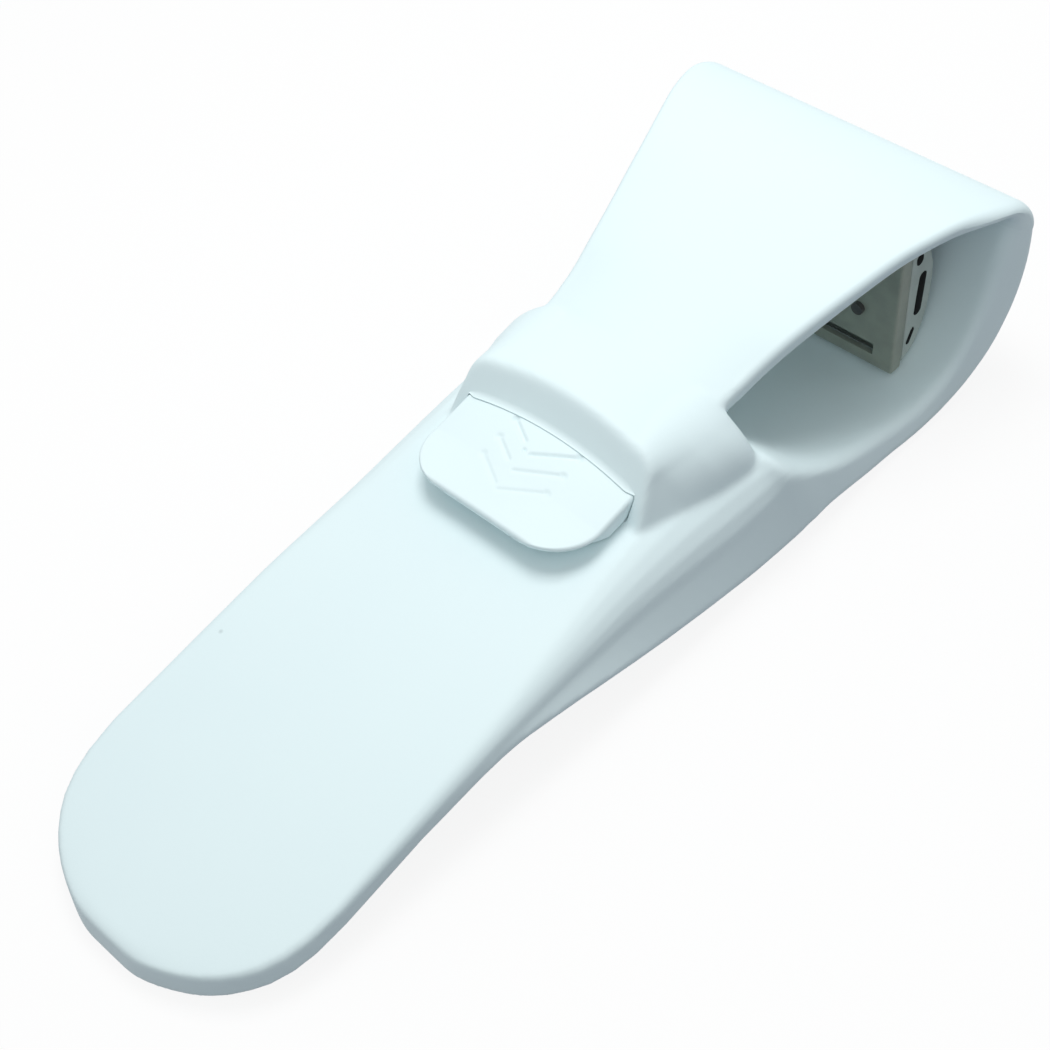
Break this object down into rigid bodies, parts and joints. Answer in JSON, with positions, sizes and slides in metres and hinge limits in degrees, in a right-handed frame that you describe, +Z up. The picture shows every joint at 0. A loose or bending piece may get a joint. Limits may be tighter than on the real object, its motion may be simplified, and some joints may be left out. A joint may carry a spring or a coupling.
{
  "type": "razor cover",
  "caption": "Soft silicone razor cover: a flat rounded grip with a keeper band, and a wide loop strap threaded through it that holds a razor cartridge crosswise.",
  "frame": {"origin": "centre of the bounding box at ground level, the cover lying on its belly flat and the end of its grip", "axes": "+Z up; +Y along the cover from the grip end to the nose of the loop; +X across it, towards the open side the cartridge slides out of"},
  "size_m": [0.0562, 0.1513, 0.034],
  "materials": {
    "silicone": "matte white moulded silicone",
    "grey_plastic": "moulded, slightly satin",
    "beige_plastic": "moulded, slightly satin",
    "steel": "ground edge",
    "black_rubber": "soft ribbed elastomer",
    "gel_strip": "dry lubricating polymer",
    "dark_plastic": "smooth"
  },
  "bodies": {
    "cover": {"cover_body": "silicone"},
    "strap": {"loop_strap": "silicone"},
    "tab": {"pull_tab": "silicone"},
    "cartridge": {"cartridge_frame": "grey_plastic", "blade_housing": "beige_plastic", "end_cap_left": "beige_plastic", "end_cap_right": "beige_plastic", "blade_1": "steel", "blade_2": "steel", "blade_3": "steel", "blade_4": "steel", "blade_5": "steel", "trimmer_blade": "steel", "guard_fins": "black_rubber", "lubricating_strip": "gel_strip", "dock_stud_left": "dark_plastic", "dock_stud_right": "dark_plastic"}
  },
  "joints": [
    {"name": "tab_slide", "type": "slide", "parent": "cover", "child": "tab", "axis": [0, 0.9848, 0.1736], "range_m": [0, 0.006]},
    {"name": "strap_flex", "type": "hinge", "parent": "cover", "child": "strap", "pos_m": [0, 0.07592, 0.02473], "axis": [-1, 0, 0], "range_deg": [0, 7]},
    {"name": "cartridge_slide", "type": "slide", "parent": "cover", "child": "cartridge", "axis": [1, 0, 0], "range_m": [0, 0.05]}
  ],
  "couplings": [
    {"joint": "strap_flex", "follows": "tab_slide", "rad_per_m": 20}
  ]
}
